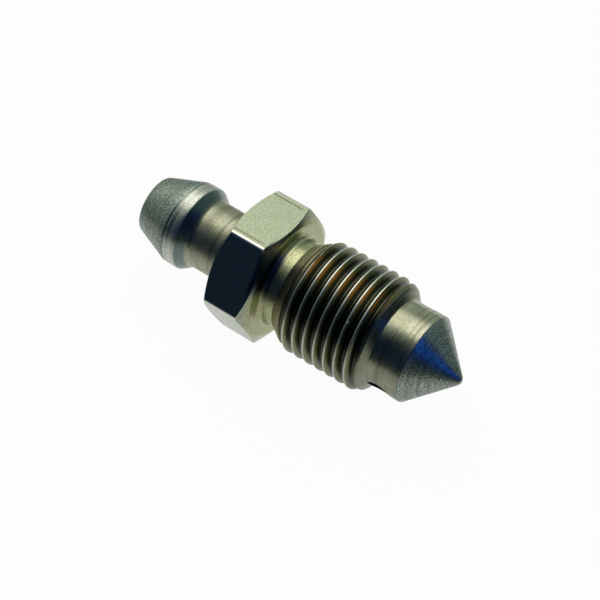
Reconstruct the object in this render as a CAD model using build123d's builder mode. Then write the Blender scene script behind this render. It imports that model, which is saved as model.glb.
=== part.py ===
"""Bleeder screw: one turned steel piece with an M10 x 1 right-hand thread. Millimetres.

Frame: +X runs along the screw's axis from the hose nipple to the seat cone, +Z is the normal of the
hexagon's top flat, and the origin is on the axis in the plane of the hexagon's thread-side face.
Along X, from the nipple's end: bore mouth, hose nipple, neck, hexagon, relief groove, thread, pilot
with its cross hole, seat cone.
"""
import os
from math import cos, radians, sin, tan

from build123d import *

# hexagon for an 11 mm spanner
hex_across_flats = 10.9
hex_length = 4.3
hex_nipple_face_d = 10.5        # circle left on the nipple-side face by the corner chamfer
hex_thread_face_d = 10.25       # the same on the thread-side face
hex_chamfer_angle = 29.0        # from the end face
hex_clear_of_corners = 1.0      # how far the turning outline stands outside the face circles

# hose nipple and neck
neck_d = 6.0
shoulder_height = 0.74          # the nipple's land stands this far out of the neck
shoulder_angle = 45.0           # from the axis
land_end_x = -9.0
land_start_x = -10.05
land_step = 0.05                # the taper ends at this low step up to the land
nipple_taper_end_x = -10.2
nipple_end_x = -13.5
nipple_end_wall = 1.05          # between the nipple's end and the bore
nipple_end_break = 0.12

# relief groove between the hexagon and the thread
relief_end_x = 1.35
relief_below_groove = 0.4       # the relief lies this far under the thread groove's root
relief_root_share = 0.38        # the rounded root's radius, of the step up to the hexagon's face

# rolled thread, ISO metric M10 x 1, its crests lower at both ends
thread_major_d = 9.92
thread_pitch = 1.0
thread_depth = 0.6134 * thread_pitch
thread_crest_flat = thread_pitch / 8
thread_flank_angle = 30.0
thread_start_angle = 33.0       # from the axis
thread_full_end_x = 9.3
thread_fade = 0.36              # how much lower the last crest is
thread_end_x = 10.0             # the last crest falls off to here, then a steep shoulder
groove_start_x = 1.34           # centre of the groove on the +Z side
groove_turns = 9.7
groove_overcut = 0.05           # how far the groove's section stands out of the crests

# pilot and seat cone
pilot_start_x = 10.45
pilot_below_groove = 0.51       # the pilot lies this far under the thread groove's root
cone_base_x = 13.34
cone_angle = 90.0
cone_tip_radius = 0.6

# holes
bore_d = 3.0
bore_mouth_break = 0.15
drill_point_angle = 118.0
cross_hole_d = 2.15
cross_hole_x = 11.55
cross_hole_tilt = 124.0         # about +X from +Z, 4 degrees past the normal of the lower front flat

# worked out from the values above
land_d = neck_d + 2 * shoulder_height
shoulder_end_x = land_end_x + shoulder_height / tan(radians(shoulder_angle))
shoulder_root_radius = 0.8 * shoulder_height
nipple_taper_end_d = land_d - 2 * land_step
nipple_end_d = bore_d + 2 * nipple_end_wall
thread_faded_d = thread_major_d - 2 * thread_fade
groove_root_r = thread_major_d / 2 - thread_depth
relief_d = 2 * (groove_root_r - relief_below_groove)
relief_root_radius = relief_root_share * (hex_thread_face_d - relief_d) / 2
pilot_d = 2 * (groove_root_r - pilot_below_groove)
hex_corner_clear_r = hex_nipple_face_d / 2 + hex_clear_of_corners
hex_nipple_chamfer_run = (hex_corner_clear_r - hex_nipple_face_d / 2) * tan(radians(hex_chamfer_angle))
hex_thread_chamfer_run = (hex_corner_clear_r - hex_thread_face_d / 2) * tan(radians(hex_chamfer_angle))
thread_full_start_x = relief_end_x + (thread_major_d - relief_d) / 2 / tan(radians(thread_start_angle))
groove_mouth_r = thread_major_d / 2 + groove_overcut
groove_crest_half = (thread_pitch - thread_crest_flat) / 2
groove_root_half = groove_crest_half - thread_depth * tan(radians(thread_flank_angle))
groove_mouth_half = groove_crest_half + groove_overcut * tan(radians(thread_flank_angle))
cone_apex_x = cone_base_x + pilot_d / 2 / tan(radians(cone_angle / 2))
tip_centre_x = cone_apex_x - cone_tip_radius / sin(radians(cone_angle / 2))
tip_x = tip_centre_x + cone_tip_radius
cone_end_x = tip_centre_x + cone_tip_radius * sin(radians(cone_angle / 2))
cone_end_r = cone_tip_radius * cos(radians(cone_angle / 2))
bore_point_x = cross_hole_x + bore_d / 2 / tan(radians(drill_point_angle / 2))

with BuildPart() as bleeder_screw:
    # hexagon with its top and bottom flats level
    with BuildSketch(Plane.YZ.offset(-hex_length)):
        RegularPolygon(radius=hex_across_flats / 2, side_count=6, major_radius=False)
    extrude(amount=hex_length)

    # both of its ends turned to a shallow cone, which leaves the curved corner chamfers
    with BuildSketch(Plane.XY):
        with BuildLine():
            Polyline(
                (-hex_length, 0),
                (-hex_length, hex_nipple_face_d / 2),
                (-hex_length + hex_nipple_chamfer_run, hex_corner_clear_r),
                (-hex_thread_chamfer_run, hex_corner_clear_r),
                (0, hex_thread_face_d / 2),
                (0, 0),
                close=True,
            )
        make_face()
    revolve(axis=Axis.X, mode=Mode.INTERSECT)

    # neck and hose nipple
    with BuildSketch(Plane.XY):
        with BuildLine():
            Polyline(
                (-hex_length, 0),
                (-hex_length, neck_d / 2),
                (shoulder_end_x, neck_d / 2),
                (land_end_x, land_d / 2),
                (land_start_x, land_d / 2),
                (land_start_x, nipple_taper_end_d / 2),
                (nipple_taper_end_x, nipple_taper_end_d / 2),
                (nipple_end_x, nipple_end_d / 2),
                (nipple_end_x, 0),
                close=True,
            )
        make_face()
    revolve(axis=Axis.X)

    # relief groove, thread blank, pilot and seat cone with its rounded tip
    with BuildSketch(Plane.XY):
        with BuildLine():
            shank_side = Polyline(
                (0, 0),
                (0, relief_d / 2),
                (relief_end_x, relief_d / 2),
                (thread_full_start_x, thread_major_d / 2),
                (thread_full_end_x, thread_major_d / 2),
                (thread_end_x, thread_faded_d / 2),
                (pilot_start_x, pilot_d / 2),
                (cone_base_x, pilot_d / 2),
                (cone_end_x, cone_end_r),
            )
            tip_arc = RadiusArc(shank_side @ 1, (tip_x, 0), cone_tip_radius)
            Line(tip_arc @ 1, shank_side @ 0)
        make_face()
    revolve(axis=Axis.X)

    # rounded roots of the nipple's shoulder and of the relief groove, broken edge at the nipple's end
    circles = bleeder_screw.edges().filter_by(GeomType.CIRCLE)
    fillet(circles.filter_by(lambda e: abs(e.center().X - shoulder_end_x) < 0.01), radius=shoulder_root_radius)
    relief_roots = circles.filter_by(lambda e: abs(e.center().X) < 0.01 and abs(e.radius - relief_d / 2) < 0.01)
    fillet(relief_roots, radius=relief_root_radius)
    nipple_rim = bleeder_screw.edges().filter_by(GeomType.CIRCLE).group_by(Axis.X)[0]
    chamfer(nipple_rim, length=nipple_end_break)

    # right-hand helical thread groove, running out over the relief groove and over the pilot
    with BuildLine():
        groove_path = Helix(
            pitch=thread_pitch,
            height=groove_turns * thread_pitch,
            radius=groove_root_r,
            center=(groove_start_x, 0, 0),
            direction=(1, 0, 0),
        )
    with BuildSketch(Plane.XZ):
        with BuildLine():
            Polyline(
                (groove_start_x - groove_root_half, groove_root_r),
                (groove_start_x + groove_root_half, groove_root_r),
                (groove_start_x + groove_mouth_half, groove_mouth_r),
                (groove_start_x - groove_mouth_half, groove_mouth_r),
                close=True,
            )
        make_face()
    sweep(path=groove_path, is_frenet=True, mode=Mode.SUBTRACT)

    # blind axial bore from the nipple's end to the cross hole, with the drill's point beyond it
    with BuildSketch(Plane.XY):
        with BuildLine():
            Polyline(
                (nipple_end_x, 0),
                (nipple_end_x, bore_d / 2 + bore_mouth_break),
                (nipple_end_x + bore_mouth_break, bore_d / 2),
                (cross_hole_x, bore_d / 2),
                (bore_point_x, 0),
                close=True,
            )
        make_face()
    revolve(axis=Axis.X, mode=Mode.SUBTRACT)

    # cross hole through both walls of the pilot
    with Locations(Location((cross_hole_x, 0, 0), (cross_hole_tilt, 0, 0))):
        Cylinder(radius=cross_hole_d / 2, height=thread_major_d, mode=Mode.SUBTRACT)

bleeder_screw.part.label = "bleeder_screw"
os.makedirs("parts", exist_ok=True)
export_step(bleeder_screw.part, "parts/bleeder_screw.step")
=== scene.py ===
"""Looks of the bleeder screw around its CAD frame: the modelled body, finish, floor, light and camera."""
from math import atan2, cos, pi, radians, sin, tan

import bmesh
import bpy
from mathutils import Matrix, Vector


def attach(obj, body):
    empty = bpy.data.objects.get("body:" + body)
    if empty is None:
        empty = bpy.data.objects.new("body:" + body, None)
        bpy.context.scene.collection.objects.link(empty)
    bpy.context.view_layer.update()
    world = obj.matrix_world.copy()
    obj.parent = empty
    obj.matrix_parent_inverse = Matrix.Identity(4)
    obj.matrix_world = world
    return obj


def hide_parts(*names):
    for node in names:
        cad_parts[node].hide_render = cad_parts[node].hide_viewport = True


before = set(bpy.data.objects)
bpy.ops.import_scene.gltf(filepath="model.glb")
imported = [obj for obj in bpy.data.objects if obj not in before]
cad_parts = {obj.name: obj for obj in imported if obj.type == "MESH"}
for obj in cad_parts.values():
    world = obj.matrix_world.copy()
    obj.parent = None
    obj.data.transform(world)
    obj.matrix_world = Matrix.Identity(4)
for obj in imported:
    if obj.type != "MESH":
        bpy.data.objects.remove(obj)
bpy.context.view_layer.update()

MM = 0.001

# sizes in millimetres, as in the CAD source
STEPS = 180                     # columns round the axis, 30 to each flat of the hexagon
HEX_FLAT_R = 10.9 / 2
HEX_LENGTH = 4.3
HEX_NIPPLE_CIRCLE = 10.5 / 2
HEX_THREAD_CIRCLE = 10.25 / 2
HEX_CHAMFER = tan(radians(29))
HEX_CORNER_R = 0.35             # rounding that spanners have worn on the six corners
HEX_SUPPORT = 0.04              # keeps a turned chamfer's shading off the face beside it
NECK_R = 3.0
LAND_R = 3.74
NIPPLE_END_X = -13.5
NIPPLE_END_R = 2.55
BORE_R = 1.5
CROSS_HOLE_R = 2.15 / 2
CROSS_HOLE_X = 11.55
CROSS_HOLE_TILT = radians(124)
DRILL_LENGTH = 9.9
BORE_POINT_X = CROSS_HOLE_X + BORE_R / tan(radians(59))
PITCH = 1.0
MAJOR_R = 4.96
THREAD_DEPTH = 0.6134
GROOVE_X = 1.34                 # the groove's centre on the +Z side
ROOT_R = MAJOR_R - THREAD_DEPTH
RELIEF_R = ROOT_R - 0.4
PILOT_R = ROOT_R - 0.51
PITCHES = 13                    # enough to reach from the relief groove to the pilot at any angle
CREST_HALF = (PITCH - PITCH / 8) / 2
ROOT_HALF = CREST_HALF - THREAD_DEPTH * tan(radians(30))
RELIEF_ROOT = 0.38 * (HEX_THREAD_CIRCLE - RELIEF_R)
THREAD_FROM, THREAD_TO = 1.15, 10.7
RAMP_END = 1.35 + (MAJOR_R - RELIEF_R) / tan(radians(33))
THREAD_BLANK = [(0, RELIEF_R), (1.35, RELIEF_R), (RAMP_END, MAJOR_R), (9.3, MAJOR_R), (10.0, MAJOR_R - 0.36),
                (10.45, PILOT_R), (11, PILOT_R)]
CONE_X = 13.34
TIP_R = 0.6
NICK = (8.11, -3.525, 3.487)    # a nick on a crest, shown by a painted bright glint
# the side that takes painted shade in the relief groove and on the ramp
PAINTED_SHADE_SIDE = (0, -0.691, 0.723)
# the side of the flanks with a painted amber glint
GLINT_SIDE = (0, -0.2, 0.98)
MARK_DEPTH = 0.01               # depth of the tool marks
SHARP_ANGLE = radians(50)       # edges over this angle are not smoothed


def turn(bm, points, advance=0.0):
    """A line of (x, radius) points spun once round the X axis, with an advance along it for the thread."""
    line = [bm.verts.new((x, 0.0, radius)) for x, radius in points]
    line += [bm.edges.new(pair) for pair in zip(line, line[1:])]
    bmesh.ops.spin(bm, geom=line, cent=(0, 0, 0), axis=(1, 0, 0), angle=2 * pi,
                   dvec=(advance / STEPS, 0, 0), steps=STEPS, use_merge=not advance)


def arc(x, radius, bend, start, end, count):
    """Points of an arc of the given bend about (x, radius), its angles in degrees from +X outwards."""
    angles = [radians(start + (end - start) * i / count) for i in range(count + 1)]
    return [(x + bend * cos(a), radius + bend * sin(a)) for a in angles]


def rounded_min(a, b, width):
    """The smaller of two heights, rounded where they cross."""
    h = max(width - abs(a - b), 0.0) / width
    return min(a, b) - h * h * width / 4


def on_line(points, x):
    """The value at x on a line through the points."""
    for (x0, value0), (x1, value1) in zip(points, points[1:]):
        if x <= x1:
            return value0 + (value1 - value0) * (x - x0) / (x1 - x0)


def thread_height(x, turns):
    """Radius of the thread's surface at x, at an angle in turns from the +Z side."""
    offset = (x - GROOVE_X - turns * PITCH) % PITCH
    flank = ROOT_R + (min(offset, PITCH - offset) - ROOT_HALF) / tan(radians(30))
    groove = -rounded_min(-ROOT_R, -flank, 0.12)
    return rounded_min(groove, on_line(THREAD_BLANK, x), 0.05)


def round_the_axis(v):
    """A vertex's angle round the X axis, from the +Z side."""
    return atan2(-v.co.y, v.co.z)


# bore, nipple with its turned rings, and neck, up to the hexagon
body = bmesh.new()
nipple = [(BORE_POINT_X, 0.0), (CROSS_HOLE_X + 0.02, BORE_R - 0.02), (CROSS_HOLE_X - 0.15, BORE_R),
          (NIPPLE_END_X + 0.3, BORE_R), (NIPPLE_END_X + 0.15, BORE_R), (NIPPLE_END_X, BORE_R + 0.15),
          (NIPPLE_END_X, BORE_R + 0.25), (NIPPLE_END_X, NIPPLE_END_R - 0.2)]
nipple += arc(NIPPLE_END_X + 0.12, NIPPLE_END_R - 0.10, 0.12, 180, 110, 4)
nipple += [(-13.0, 2.733), (-12.0, 3.099), (-11.0, 3.465), (-10.32, 3.714), (-10.24, 3.722), (-10.19, 3.69),
           (-10.12, 3.688), (-10.06, 3.73), (-10.0, LAND_R), (-9.72, LAND_R), (-9.66, LAND_R - 0.018),
           (-9.6, LAND_R), (-9.2, LAND_R), (-9.06, LAND_R - 0.004), (-8.98, LAND_R - 0.035),
           (-8.93, LAND_R - 0.075)]
nipple += arc(-7.82, NECK_R + 0.592, 0.592, 225, 270, 6)
nipple += [(-7.2, NECK_R), (-6.2, NECK_R), (-5.2, NECK_R), (-4.55, NECK_R), (-4.38, NECK_R + 0.02),
           (-HEX_LENGTH - 0.01, NECK_R + 0.09), (-HEX_LENGTH, NECK_R + 0.2),
           (-HEX_LENGTH, HEX_NIPPLE_CIRCLE - 0.25), (-HEX_LENGTH, HEX_NIPPLE_CIRCLE)]
turn(body, nipple)
bmesh.ops.remove_doubles(body, verts=body.verts, dist=1e-4)

# hexagon: a turned blank whose two inner rows are drawn out to the flats and their chamfers
nipple_part = set(body.verts)
BLANK_ROWS = (-4.15, -0.15)
support_x = HEX_SUPPORT * HEX_CHAMFER
turn(body, [(-HEX_LENGTH, HEX_NIPPLE_CIRCLE), (support_x - HEX_LENGTH, HEX_NIPPLE_CIRCLE + HEX_SUPPORT),
            (BLANK_ROWS[0], 6.0), (BLANK_ROWS[1], 6.0),
            (-support_x, HEX_THREAD_CIRCLE + HEX_SUPPORT), (0.0, HEX_THREAD_CIRCLE)])
corner_centre = (HEX_FLAT_R - HEX_CORNER_R) / cos(pi / 6)
corner_half = atan2(HEX_CORNER_R / 2, corner_centre + HEX_CORNER_R * cos(pi / 6))
# three columns on each side of a corner are drawn in to its rounding, a fourth beside it, and the next ones
# fill the gap
column = 2 * pi / STEPS
DRAWN_IN = [(0.0, 0.0), (3 * column, corner_half), (4 * column, 1.3 * corner_half),
            (10 * column, 10 * column), (pi, pi)]
for v in set(body.verts) - nipple_part:
    row = min((0, 1), key=lambda i: abs(v.co.x - BLANK_ROWS[i]))
    if abs(v.co.x - BLANK_ROWS[row]) > 0.01:
        continue
    angle = round_the_axis(v)
    off_flat = (angle + pi / 6) % (pi / 3) - pi / 6
    off_corner = pi / 6 - abs(off_flat)
    drawn = on_line(DRAWN_IN, max(off_corner, 0.0))
    angle += (off_corner - drawn) * (1 if off_flat > 0 else -1)
    if drawn < corner_half:
        radius = corner_centre * cos(drawn) + (HEX_CORNER_R ** 2 - (corner_centre * sin(drawn)) ** 2) ** 0.5
    else:
        radius = HEX_FLAT_R / cos(pi / 6 - drawn)
    if row == 0:
        x = -HEX_LENGTH + (radius - HEX_NIPPLE_CIRCLE) * HEX_CHAMFER
    else:
        x = -(radius - HEX_THREAD_CIRCLE) * HEX_CHAMFER
    v.co = (x, -radius * sin(angle), radius * cos(angle))

# thread-side face of the hexagon and the relief groove, up to the thread
relief = [(0.0, HEX_THREAD_CIRCLE), (0.0, HEX_THREAD_CIRCLE - 0.2), (0.0, RELIEF_R + RELIEF_ROOT + 0.12)]
relief += arc(RELIEF_ROOT, RELIEF_R + RELIEF_ROOT, RELIEF_ROOT, 180, 270, 8)
relief += [(0.75, RELIEF_R), (THREAD_FROM, RELIEF_R)]
turn(body, relief)

# pilot, seat cone and rounded tip
tip_centre = CONE_X + PILOT_R - TIP_R / sin(radians(45))
cone_from = (CONE_X + 0.035, PILOT_R - 0.035)
cone_to = (tip_centre + TIP_R * cos(radians(45)), TIP_R * sin(radians(45)))
pilot = [(x, PILOT_R) for x in (THREAD_TO, 10.85, 11.1, 11.35, 11.6, 11.9, 12.2, 12.5, 12.9, 13.15)]
pilot += arc(CONE_X - 0.05, PILOT_R - 0.12, 0.12, 90, 45, 4)
pilot += [tuple(a + (b - a) * share for a, b in zip(cone_from, cone_to))
          for share in (0.1, 0.3, 0.55, 0.8, 0.95)]
pilot += arc(tip_centre, 0, TIP_R, 45, 0, 8)
turn(body, pilot)

# thread: the points of one pitch screwed once round, repeated along the axis, then set to the thread's height
HALF_PITCH = (0.0, 0.035, 0.07, 0.1, 0.14, 0.2, 0.27, 0.33, 0.375, 0.405, 0.43, 0.455, 0.478)
one_pitch = sorted(HALF_PITCH + (0.5,) + tuple(1 - share for share in HALF_PITCH))
thread = bmesh.new()
turn(thread, [(GROOVE_X + (share - 2) * PITCH, ROOT_R) for share in one_pitch], advance=PITCH)
one_turn = list(thread.verts) + list(thread.edges) + list(thread.faces)
for k in range(1, PITCHES):
    copy = bmesh.ops.duplicate(thread, geom=one_turn)["geom"]
    copied_points = [g for g in copy if isinstance(g, bmesh.types.BMVert)]
    bmesh.ops.translate(thread, verts=copied_points, vec=(k * PITCH, 0, 0))
bmesh.ops.remove_doubles(thread, verts=thread.verts, dist=1e-4)
for v in thread.verts:
    angle = round_the_axis(v)
    x = min(max(v.co.x, THREAD_FROM), THREAD_TO)
    radius = {THREAD_FROM: RELIEF_R, THREAD_TO: PILOT_R}.get(x) or thread_height(x, angle / (2 * pi))
    v.co = (x, -radius * sin(angle), radius * cos(angle))
bmesh.ops.remove_doubles(thread, verts=thread.verts, dist=1e-4)
screw_mesh = bpy.data.meshes.new("screw_body")
thread.to_mesh(screw_mesh)
thread.free()
body.from_mesh(screw_mesh)
bmesh.ops.remove_doubles(body, verts=body.verts, dist=2e-4)
bmesh.ops.recalc_face_normals(body, faces=body.faces)
print("edges that are not closed:", sum(not e.is_manifold for e in body.edges))
body.to_mesh(screw_mesh)
body.free()
screw = bpy.data.objects.new("screw_body", screw_mesh)
bpy.context.scene.collection.objects.link(screw)

# cross hole, drilled through both walls of the pilot
drill = bmesh.new()
bmesh.ops.create_cone(drill, cap_ends=True, segments=64, radius1=CROSS_HOLE_R, radius2=CROSS_HOLE_R,
                      depth=DRILL_LENGTH)
bmesh.ops.rotate(drill, verts=drill.verts, cent=(0, 0, 0), matrix=Matrix.Rotation(CROSS_HOLE_TILT, 3, "X"))
bmesh.ops.translate(drill, verts=drill.verts, vec=(CROSS_HOLE_X, 0, 0))
drill_mesh = bpy.data.meshes.new("drill")
drill.to_mesh(drill_mesh)
drill.free()
drill_piece = bpy.data.objects.new("drill", drill_mesh)
bpy.context.scene.collection.objects.link(drill_piece)
cut = screw.modifiers.new("cross_hole", "BOOLEAN")
cut.operation = "DIFFERENCE"
cut.object = drill_piece
cut.solver = "EXACT"
drilled = bpy.data.meshes.new_from_object(screw.evaluated_get(bpy.context.evaluated_depsgraph_get()))
screw.modifiers.clear()
screw.data = drilled
bpy.data.objects.remove(drill_piece)
screw.data.transform(Matrix.Scale(MM, 4))
screw.data.shade_smooth()
screw.data.set_sharp_from_angle(angle=SHARP_ANGLE)
print("triangles:", sum(len(p.vertices) - 2 for p in screw.data.polygons))


def linear(colour):
    """An sRGB hex value turned to linear RGBA."""
    values = [int(colour[i:i + 2], 16) / 255 for i in (1, 3, 5)]
    return [v / 12.92 if v <= 0.04045 else ((v + 0.055) / 1.055) ** 2.4 for v in values] + [1.0]


def add(tree, kind, links=(), out=0, **settings):
    """Adds a node with its settings, its inputs linked to sockets or set to values. Gives back one output."""
    node = tree.nodes.new(kind)
    for name, value in settings.items():
        setattr(node, name, value)
    for name, value in dict(links).items():
        if isinstance(value, bpy.types.NodeSocket):
            tree.links.new(value, node.inputs[name])
        else:
            node.inputs[name].default_value = value
    return node.outputs[out] if node.outputs else None


RGB = {"data_type": "RGBA"}
SOFT = {"interpolation_type": "SMOOTHSTEP"}
TIMES = {"operation": "MULTIPLY"}
PLUS_PRODUCT = {"operation": "MULTIPLY_ADD"}

# Zinc plating with a thin yellow-green passivate, on turned free-cutting steel. The coat follows the tool
# marks below it, so the metal mirrors the room softly, in rings round the axis and in drawn streaks along the
# hexagon.
# It is grained and duller on the nipple's taper and the seat cone, and golden where the thread begins. One
# side of the rolled flanks has a painted amber glint. Painted shade darkens the thread's groove, one side of
# the relief groove and of the thread's ramp, the shoulder behind the land, and the cross hole. Wear shows
# bright steel on the crests and on the hexagon's corners, and a nick on a crest has a painted glint.
plating = bpy.data.materials.new("zinc_plated_turned_steel")
plating.use_nodes = True
zinc = plating.node_tree
zinc.nodes.clear()

# where on the screw, in millimetres along the axis and out from it
place = add(zinc, "ShaderNodeVectorMath", {0: add(zinc, "ShaderNodeTexCoord", out="Object"), "Scale": 1 / MM},
            operation="SCALE")
along = add(zinc, "ShaderNodeSeparateXYZ", {0: place})
off_axis = add(zinc, "ShaderNodeVectorMath", {0: place, 1: (0, 1, 1)}, **TIMES)
out_r = add(zinc, "ShaderNodeVectorMath", {0: off_axis}, "Value", operation="LENGTH")
on_nipple = add(zinc, "ShaderNodeMapRange", {0: along, 1: -8.8, 2: -9.0}, **SOFT)
on_taper = add(zinc, "ShaderNodeMapRange", {0: along, 1: -10.15, 2: -10.3}, **SOFT)
past_land = add(zinc, "ShaderNodeMapRange", {0: along, 1: -8.9, 2: -9.1}, **SOFT)
on_land = add(zinc, "ShaderNodeMapRange", {0: along, 1: -10.1, 2: -10.0, 4: past_land}, **SOFT)
past_shoulder = add(zinc, "ShaderNodeMapRange", {0: along, 1: -8.0, 2: -8.4}, **SOFT)
# painted shade on the shoulder behind the land
painted_shade_shoulder = add(zinc, "ShaderNodeMapRange", {0: along, 1: -9.0, 2: -8.9, 4: past_shoulder}, **SOFT)
on_cone = add(zinc, "ShaderNodeMapRange", {0: along, 1: 13.25, 2: 13.4}, **SOFT)
past_neck = add(zinc, "ShaderNodeMapRange", {0: along, 1: -4.25, 2: -4.35}, **SOFT)
on_neck = add(zinc, "ShaderNodeMapRange", {0: along, 1: -8.2, 2: -7.7, 4: past_neck}, **SOFT)
past_hexagon = add(zinc, "ShaderNodeMapRange", {0: along, 1: 0.08, 2: -0.02}, **SOFT)
by_hexagon = add(zinc, "ShaderNodeMapRange", {0: along, 1: -4.4, 2: -4.25, 4: past_hexagon}, **SOFT)
on_hexagon = add(zinc, "ShaderNodeMapRange", {0: out_r, 1: 5.1, 2: 5.35, 4: by_hexagon}, **SOFT)
on_corner = add(zinc, "ShaderNodeMapRange", {0: out_r, 1: 6.17, 2: 6.2}, **SOFT)
past_thread = add(zinc, "ShaderNodeMapRange", {0: along, 1: 10.1, 2: 9.7}, **SOFT)
by_thread = add(zinc, "ShaderNodeMapRange", {0: along, 1: 2.2, 2: 2.8, 4: past_thread}, **SOFT)
on_crest = add(zinc, "ShaderNodeMapRange", {0: out_r, 1: 4.92, 2: 4.955, 4: by_thread}, **SOFT)
on_flank = add(zinc, "ShaderNodeMapRange", {0: out_r, 1: 4.95, 2: 4.86, 4: by_thread}, **SOFT)
# painted shade in the thread's groove
painted_shade_groove = add(zinc, "ShaderNodeMapRange", {0: out_r, 1: 4.82, 2: 4.55, 4: by_thread}, **SOFT)
past_ramp = add(zinc, "ShaderNodeMapRange", {0: along, 1: 2.9, 2: 2.6}, **SOFT)
on_ramp = add(zinc, "ShaderNodeMapRange", {0: along, 1: 1.2, 2: 1.5, 4: past_ramp}, **SOFT)
past_relief = add(zinc, "ShaderNodeMapRange", {0: along, 1: 1.5, 2: 1.2}, **SOFT)
on_relief = add(zinc, "ShaderNodeMapRange", {0: along, 1: -0.3, 2: -0.05, 4: past_relief}, **SOFT)
past_root = add(zinc, "ShaderNodeMapRange", {0: along, 1: 0.6, 2: 0.35, 4: 0.85}, **SOFT)
by_root = add(zinc, "ShaderNodeMapRange", {0: along, 1: -0.7, 2: -0.5, 4: past_root}, **SOFT)

# which side of the screw: painted shade lies on one, and a painted amber glint on another
outwards = add(zinc, "ShaderNodeVectorMath", {0: off_axis}, operation="NORMALIZE")
painted_shade_side = add(zinc, "ShaderNodeVectorMath", {0: outwards, 1: PAINTED_SHADE_SIDE}, "Value",
                  operation="DOT_PRODUCT")
painted_shade_relief_root = add(zinc, "ShaderNodeMapRange", {0: painted_shade_side, 1: 0.86, 2: 0.97, 4: by_root}, **SOFT)
# painted shade on the ramp's side toward the camera
painted_shade_ramp = add(zinc, "ShaderNodeMapRange", {0: painted_shade_side, 1: 0.88, 2: 0.97, 4: on_ramp}, **SOFT)
glint_side = add(zinc, "ShaderNodeVectorMath", {0: outwards, 1: GLINT_SIDE}, "Value",
                 operation="DOT_PRODUCT")
painted_amber_glint = add(zinc, "ShaderNodeMapRange", {0: glint_side, 1: 0.94, 2: 1.0, 4: on_flank}, **SOFT)

# two fine lines that the drawing die left along the top and the bottom flat, and a painted glint on a nick on
# a crest
across = add(zinc, "ShaderNodeSeparateXYZ", {0: place}, 1)
across = add(zinc, "ShaderNodeMath", {0: across}, operation="ABSOLUTE")
before_chamfer = add(zinc, "ShaderNodeMapRange", {0: along, 1: -0.8, 2: -1.1, 4: on_hexagon}, **SOFT)
past_line = add(zinc, "ShaderNodeMapRange", {0: across, 1: 2.74, 2: 2.64, 4: before_chamfer}, **SOFT)
on_die_line = add(zinc, "ShaderNodeMapRange", {0: across, 1: 2.5, 2: 2.58, 4: past_line}, **SOFT)
off_nick = add(zinc, "ShaderNodeVectorMath", {0: place, 1: NICK}, "Value", operation="DISTANCE")
painted_nick_glint = add(zinc, "ShaderNodeMapRange", {0: off_nick, 1: 0.18, 2: 0.08}, **SOFT)

# the bore, and painted shade in the cross hole
before_cone = add(zinc, "ShaderNodeMapRange", {0: along, 1: 13.0, 2: 12.8}, **SOFT)
in_bore = add(zinc, "ShaderNodeMapRange", {0: out_r, 1: 1.56, 2: 1.5, 4: before_cone}, **SOFT)
in_drill_line = add(zinc, "ShaderNodeMapping",
                    {0: place, 1: (CROSS_HOLE_X, 0, 0), 2: (CROSS_HOLE_TILT, 0, 0)}, vector_type="TEXTURE")
off_drill = add(zinc, "ShaderNodeVectorMath", {0: in_drill_line, 1: (1, 1, 0)}, **TIMES)
off_drill = add(zinc, "ShaderNodeVectorMath", {0: off_drill}, "Value", operation="LENGTH")
painted_shade_cross_hole = add(zinc, "ShaderNodeMapRange",
                    {0: off_drill, 1: CROSS_HOLE_R + 0.03, 2: CROSS_HOLE_R}, **SOFT)

# Scales are in waves a millimetre, along and across the axis. Turned rings: a feed of about 0.1 mm a turn,
# drawn about 0.25 mm apart so that they show, with finer ones between. Drawn streaks: 0.1 mm wide and 3 mm
# long. Speckle: 0.15 mm grains. Cloudy coat: patches of 1 mm.
RING_SCALE = (3.8, 0.1, 0.1)
FINE_RING_SCALE = (12.0, 0.4, 0.4)
STREAK_SCALE = (0.35, 9.0, 9.0)
SPECKLE_SCALE = (7.0, 7.0, 7.0)
CLOUD_SCALE = (0.9, 0.9, 0.9)
patterns = []
for scale in (RING_SCALE, FINE_RING_SCALE, STREAK_SCALE, SPECKLE_SCALE, CLOUD_SCALE):
    stretched = add(zinc, "ShaderNodeVectorMath", {0: place, 1: scale}, **TIMES)
    patterns.append(add(zinc, "ShaderNodeTexNoise",
                        {"Vector": stretched, "Scale": 1.0, "Detail": 2.0, "Roughness": 0.6}))
rings, fine_rings, streaks, speckle, cloud = patterns
turned = add(zinc, "ShaderNodeMath", {0: 1.0, 1: on_hexagon}, operation="SUBTRACT")
ring_share = add(zinc, "ShaderNodeMath", {0: on_relief, 1: -0.7, 2: 1.0}, **PLUS_PRODUCT)
turned = add(zinc, "ShaderNodeMath", {0: turned, 1: ring_share}, **TIMES)

grained = add(zinc, "ShaderNodeMath", {0: on_taper, 1: on_cone}, operation="MAXIMUM")
ring_most = add(zinc, "ShaderNodeMath", {0: grained, 1: -0.25, 2: 0.65}, **PLUS_PRODUCT)
ring_most = add(zinc, "ShaderNodeMath", {0: ring_most, 1: turned}, **TIMES)
ringed = add(zinc, "ShaderNodeMapRange", {0: rings, 1: 0.45, 2: 0.68, 4: ring_most}, **SOFT)
speck_most = add(zinc, "ShaderNodeMath", {0: grained, 1: 0.35, 2: 0.35}, **PLUS_PRODUCT)
speckled = add(zinc, "ShaderNodeMapRange", {0: speckle, 1: 0.38, 2: 0.62, 4: speck_most}, **SOFT)
on_hexagon_coat = add(zinc, "ShaderNodeMath", {0: on_hexagon, 1: 0.7}, **TIMES)

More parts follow.
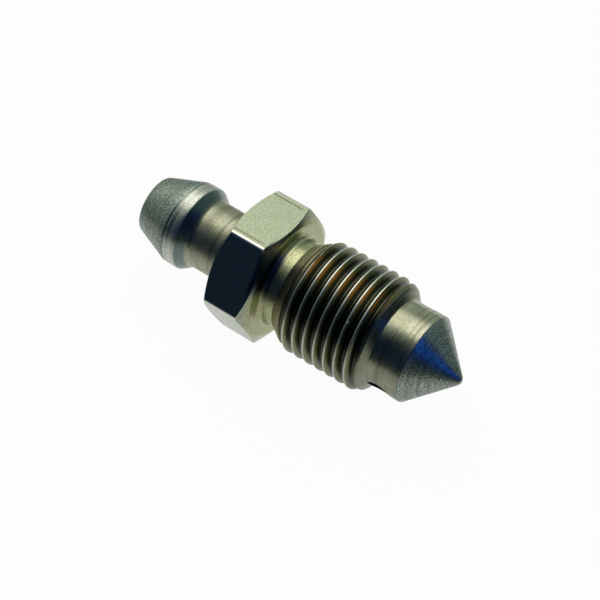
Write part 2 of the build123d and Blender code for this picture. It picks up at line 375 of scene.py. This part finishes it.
# colour, each layer over the ones before it
cloudy = add(zinc, "ShaderNodeMapRange", {0: cloud, 1: 0.35, 2: 0.65}, **SOFT)
thick_coat, thin_coat = linear("#a5a78b"), linear("#b6b8a0")
tone = add(zinc, "ShaderNodeMix", {0: cloudy, 6: thick_coat, 7: thin_coat}, 2, **RGB)
for share, colour in (
        (on_hexagon_coat, "#b1bea2"),   # greener coat on the hexagon
        (on_nipple, "#b4c1b8"),         # grey coat on the nipple, paler on its land and on the seat cone
        (on_land, "#d2d6cb"),
        (on_cone, "#ccd8cb"),
        (on_relief, "#bdbf93"),         # yellower coat in the relief groove, golden where the thread begins
        (on_ramp, "#cfc9a0"),
        (ringed, "#6f6d58"),            # turned rings and specks in the coat
        (speckled, "#5c655f"),
        (painted_shade_shoulder, "#74817e"),       # painted shade on the shoulder behind the land, where the hexagon hides the light
        (painted_shade_relief_root, "#2a3556"),    # painted shade, tinted blue, on the relief groove's side toward the camera
        # painted shade on the ramp's side toward the camera
        (painted_shade_ramp, "#66675a"),
        (on_flank, "#8b906c"),          # rolled flanks, a painted amber glint on one side, painted shade in the groove
        (painted_amber_glint, "#a88650"),
        # painted shade in the thread's groove
        (painted_shade_groove, "#54564a"),
        (on_crest, "#d6d9cc"),          # steel worn bright on the crests
        (on_die_line, "#807b62"),
        (on_corner, "#dfe1d6"),         # and on the hexagon's corners, with a painted glint on the nick
        (painted_nick_glint, "#f4f4f2"),
        (in_bore, "#6e6a5e"),
        # painted shade: the cross hole's wall near black
        (painted_shade_cross_hole, "#0d0c0b")):
    tone = add(zinc, "ShaderNodeMix", {0: share, 6: tone, 7: linear(colour)}, 2, **RGB)

# soft mirror on the hexagon's drawn flats, duller on the turned faces and the rolled crests
gloss = add(zinc, "ShaderNodeMapRange", {0: cloud, 1: 0.35, 2: 0.65, 3: 0.20, 4: 0.25}, **SOFT)
for share, dullness in ((on_taper, 0.42), (on_hexagon, 0.17), (on_neck, 0.38), (on_land, 0.32),
                        (on_ramp, 0.5), (on_crest, 0.32), (painted_nick_glint, 0.7), (painted_shade_cross_hole, 0.6)):
    gloss = add(zinc, "ShaderNodeMix", {0: share, 2: gloss, 3: dullness})

# tool marks: rings on the turned faces, streaks on the hexagon, grains over both
ring_height = add(zinc, "ShaderNodeMath", {0: fine_rings, 1: 0.35, 2: rings}, **PLUS_PRODUCT)
ring_depth = add(zinc, "ShaderNodeMath", {0: grained, 1: -0.7, 2: 1.0}, **PLUS_PRODUCT)
ring_depth = add(zinc, "ShaderNodeMath", {0: ring_depth, 1: ring_share}, **TIMES)
ring_height = add(zinc, "ShaderNodeMath", {0: ring_height, 1: ring_depth}, **TIMES)
flat_height = add(zinc, "ShaderNodeMath", {0: streaks, 1: 0.4, 2: 0.0}, **PLUS_PRODUCT)
height = add(zinc, "ShaderNodeMix", {0: on_hexagon, 2: ring_height, 3: flat_height})
speck_height = add(zinc, "ShaderNodeMath", {0: grained, 1: 2.4, 2: 0.6}, **PLUS_PRODUCT)
height = add(zinc, "ShaderNodeMath", {0: speckle, 1: speck_height, 2: height}, **PLUS_PRODUCT)
bump = add(zinc, "ShaderNodeBump", {"Height": height, "Strength": 0.7, "Distance": MARK_DEPTH * MM})

metal = add(zinc, "ShaderNodeBsdfPrincipled",
            {"Base Color": tone, "Metallic": 1.0, "Roughness": gloss, "Normal": bump})
add(zinc, "ShaderNodeOutputMaterial", {"Surface": metal})
screw.data.materials.clear()
screw.data.materials.append(plating)

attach(screw, "root")
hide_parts("bleeder_screw")

# floor: a white card that the screw lies on with two flats level, so the axis is half the hexagon's width up
floor_bm = bmesh.new()
bmesh.ops.create_grid(floor_bm, x_segments=1, y_segments=1, size=1.0)
bmesh.ops.translate(floor_bm, verts=floor_bm.verts, vec=(0, 0, -HEX_FLAT_R * MM))
floor_mesh = bpy.data.meshes.new("floor")
floor_bm.to_mesh(floor_mesh)
floor_bm.free()
floor = bpy.data.objects.new("floor", floor_mesh)
bpy.context.scene.collection.objects.link(floor)

# Matt white card. The camera sees it white, with the screw's soft shadow on it. In the metal it shows a
# painted
# pool of light: a painted white glow close to the screw, dimming with distance to a painted dark grey.
CARD_SEEN, PAINTED_POOL_GLOW = 0.96, 0.75   # share shown as plain white, the rest takes the shadow; in the metal the white is the painted pool
PAINTED_POOL_INNER, PAINTED_POOL_OUTER = 3.0, 33.0      # millimetres over which the painted pool's white fades
PAINTED_POOL_CENTRE_X, PAINTED_POOL_ALONG = -6.0, 0.6   # its middle is under the neck, and it fades slower along the axis
card = bpy.data.materials.new("matt_white_card")
card.use_nodes = True
sheet = card.node_tree
sheet.nodes.clear()
seen = add(sheet, "ShaderNodeLightPath", out="Is Camera Ray")
glossy = add(sheet, "ShaderNodeLightPath", out="Is Glossy Ray")
transmitted = add(sheet, "ShaderNodeLightPath", out="Is Transmission Ray")
mirrored = add(sheet, "ShaderNodeMath", {0: glossy, 1: transmitted}, operation="MAXIMUM")
spot = add(sheet, "ShaderNodeTexCoord", out="Object")
spot = add(sheet, "ShaderNodeVectorMath", {0: spot, 1: (-PAINTED_POOL_CENTRE_X * MM, 0, 0)}, operation="ADD")
spot = add(sheet, "ShaderNodeVectorMath", {0: spot, 1: (PAINTED_POOL_ALONG / MM, 1 / MM, 0)}, **TIMES)
# behind the screw only the distance along the axis counts
in_front = add(sheet, "ShaderNodeVectorMath", {0: spot, 1: (1000, 0, 0)}, operation="MINIMUM")
away = add(sheet, "ShaderNodeVectorMath", {0: in_front}, "Value", operation="LENGTH")
painted_pool = add(sheet, "ShaderNodeMapRange", {0: away, 1: PAINTED_POOL_INNER, 2: PAINTED_POOL_OUTER, 3: 1.0, 4: 0.0})
painted_pool = add(sheet, "ShaderNodeMath", {0: painted_pool, 1: 1.5}, operation="POWER")
behind = add(sheet, "ShaderNodeSeparateXYZ", {0: spot}, 1)
behind = add(sheet, "ShaderNodeMapRange", {0: behind, 1: 0.0, 2: 6.0, 3: 1.0, 4: 0.95}, **SOFT)
painted_pool = add(sheet, "ShaderNodeMath", {0: painted_pool, 1: behind}, **TIMES)
painted_dimming = add(sheet, "ShaderNodeMath", {0: 1.0, 1: painted_pool}, operation="SUBTRACT")
painted_dimming = add(sheet, "ShaderNodeMath", {0: mirrored, 1: painted_dimming}, **TIMES)
card_colour_with_painted_dimming = add(sheet, "ShaderNodeMix", {0: painted_dimming, 6: linear("#f6f6f4"), 7: linear("#50585a")}, 2, **RGB)
matt = add(sheet, "ShaderNodeBsdfDiffuse", {"Color": card_colour_with_painted_dimming})
shown = add(sheet, "ShaderNodeEmission", {"Color": linear("#ffffff"), "Strength": 1.0})
painted_pool_glow = add(sheet, "ShaderNodeMath", {0: painted_pool, 1: PAINTED_POOL_GLOW}, **TIMES)
painted_pool_glow = add(sheet, "ShaderNodeMath", {0: mirrored, 1: painted_pool_glow}, **TIMES)
plain_share = add(sheet, "ShaderNodeMath", {0: seen, 1: CARD_SEEN, 2: painted_pool_glow}, **PLUS_PRODUCT)
surface = add(sheet, "ShaderNodeMixShader", {0: plain_share, 1: matt, 2: shown})
add(sheet, "ShaderNodeOutputMaterial", {"Surface": surface})
floor.data.materials.append(card)

# The studio round it: a pale grey room, a wide soft light overhead, dark where the camera stands and on the
# right, with a blue card on the right. Strengths are linear, 1 is white.
studio = bpy.data.worlds.new("studio")
bpy.context.scene.world = studio
studio.use_nodes = True
room = studio.node_tree
room.nodes.clear()
toward = add(room, "ShaderNodeTexCoord", out="Generated")
to_right = add(room, "ShaderNodeSeparateXYZ", {0: toward}, 0)
to_back = add(room, "ShaderNodeSeparateXYZ", {0: toward}, 1)
upward = add(room, "ShaderNodeSeparateXYZ", {0: toward}, 2)

GREY_WALL, RIGHT_WALL, LEFT_WALL = (0.46, 0.52, 0.46, 1), (0.16, 0.21, 0.22, 1), (0.36, 0.43, 0.37, 1)
OVERHEAD, DARK_FRONT, BLUE_CARD = (1.80, 1.76, 1.65, 1), (0.011, 0.022, 0.055, 1), (0.012, 0.08, 0.45, 1)
SLATE_CORNER = (0.09, 0.14, 0.19, 1)
TO_NAVY = Vector((0.93, -0.05, 0.33)).normalized()
TO_BLUE_CARD = Vector((0.91, 0.01, 0.41)).normalized()

rightness = add(room, "ShaderNodeMapRange", {0: to_right, 1: -0.1, 2: 0.6}, **SOFT)
glow = add(room, "ShaderNodeMix", {0: rightness, 6: GREY_WALL, 7: RIGHT_WALL}, 2, **RGB)
leftness = add(room, "ShaderNodeMapRange", {0: to_right, 1: -0.5, 2: -0.8}, **SOFT)
glow = add(room, "ShaderNodeMix", {0: leftness, 6: glow, 7: LEFT_WALL}, 2, **RGB)
overhead = add(room, "ShaderNodeMapRange", {0: to_back, 1: 0.82, 2: 0.42}, **SOFT)
overhead = add(room, "ShaderNodeMapRange", {0: to_back, 1: -0.32, 2: 0.08, 4: overhead}, **SOFT)
overhead = add(room, "ShaderNodeMapRange", {0: to_right, 1: 0.3, 2: -0.02, 4: overhead}, **SOFT)
overhead = add(room, "ShaderNodeMapRange", {0: to_right, 1: -0.95, 2: -0.7, 4: overhead}, **SOFT)
overhead = add(room, "ShaderNodeMapRange", {0: upward, 1: 0.45, 2: 0.65, 4: overhead}, **SOFT)
glow = add(room, "ShaderNodeMix", {0: overhead, 6: glow, 7: OVERHEAD}, 2, **RGB)
frontness = add(room, "ShaderNodeMath", {0: to_right, 1: -0.28, 2: to_back}, **PLUS_PRODUCT)
off_left = add(room, "ShaderNodeMapRange", {0: to_right, 1: -0.9, 2: -0.65}, **SOFT)
frontness = add(room, "ShaderNodeMapRange", {0: frontness, 1: 0.10, 2: -0.58, 4: off_left}, **SOFT)
glow = add(room, "ShaderNodeMix", {0: frontness, 6: glow, 7: DARK_FRONT}, 2, **RGB)
navy = add(room, "ShaderNodeVectorMath", {0: toward, 1: TO_NAVY}, "Value", operation="DOT_PRODUCT")
navy = add(room, "ShaderNodeMapRange", {0: navy, 1: cos(radians(34)), 2: cos(radians(14))}, **SOFT)
glow = add(room, "ShaderNodeMix", {0: navy, 6: glow, 7: DARK_FRONT}, 2, **RGB)
low_right = add(room, "ShaderNodeMapRange", {0: to_right, 1: 0.5, 2: 0.8}, **SOFT)
low_right = add(room, "ShaderNodeMapRange", {0: upward, 1: 0.3, 2: 0.1, 4: low_right}, **SOFT)
glow = add(room, "ShaderNodeMix", {0: low_right, 6: glow, 7: DARK_FRONT}, 2, **RGB)
low_corner = add(room, "ShaderNodeMapRange", {0: to_right, 1: 0.5, 2: 0.8}, **SOFT)
low_corner = add(room, "ShaderNodeMapRange", {0: to_back, 1: -0.2, 2: -0.42, 4: low_corner}, **SOFT)
low_corner = add(room, "ShaderNodeMapRange", {0: upward, 1: 0.15, 2: 0.0, 4: low_corner}, **SOFT)
glow = add(room, "ShaderNodeMix", {0: low_corner, 6: glow, 7: SLATE_CORNER}, 2, **RGB)
blueness = add(room, "ShaderNodeVectorMath", {0: toward, 1: TO_BLUE_CARD}, "Value", operation="DOT_PRODUCT")
blueness = add(room, "ShaderNodeMapRange", {0: blueness, 1: cos(radians(19)), 2: cos(radians(7))}, **SOFT)
glow = add(room, "ShaderNodeMix", {0: blueness, 6: glow, 7: BLUE_CARD}, 2, **RGB)
open_view = add(room, "ShaderNodeLightPath", out="Is Camera Ray")
glow = add(room, "ShaderNodeMix", {0: open_view, 6: glow, 7: linear("#fdfdfc")}, 2, **RGB)
sky = add(room, "ShaderNodeBackground", {"Color": glow, "Strength": 1.0})
add(room, "ShaderNodeOutputWorld", {"Surface": sky})

# the photograph's camera, fitted to the screw's outline and its thread
CAMERA_RIGHT = Vector((0.80567506, 0.58597711, 0.08670952))
CAMERA_UP = Vector((-0.4729873, 0.54826428, 0.68970233))
CAMERA_BACK = Vector((0.35661003, -0.59668846, 0.71888258))
CAMERA_PLACE = Vector((0.05508999, -0.08979219, 0.10682071))
FOCAL_PIXELS, FRAME_PIXELS = 1845.626, 600
camera_data = bpy.data.cameras.new("camera")
camera_data.sensor_width = 36.0
camera_data.lens = FOCAL_PIXELS / FRAME_PIXELS * camera_data.sensor_width
camera_data.clip_start = 0.01
camera = bpy.data.objects.new("camera", camera_data)
bpy.context.scene.collection.objects.link(camera)
camera_axes = [(*axis, 0) for axis in (CAMERA_RIGHT, CAMERA_UP, CAMERA_BACK)]
camera.matrix_world = Matrix(camera_axes + [(0, 0, 0, 1)]).transposed()
camera.location = CAMERA_PLACE
bpy.context.scene.camera = camera
bpy.context.scene.view_settings.view_transform = "Standard"
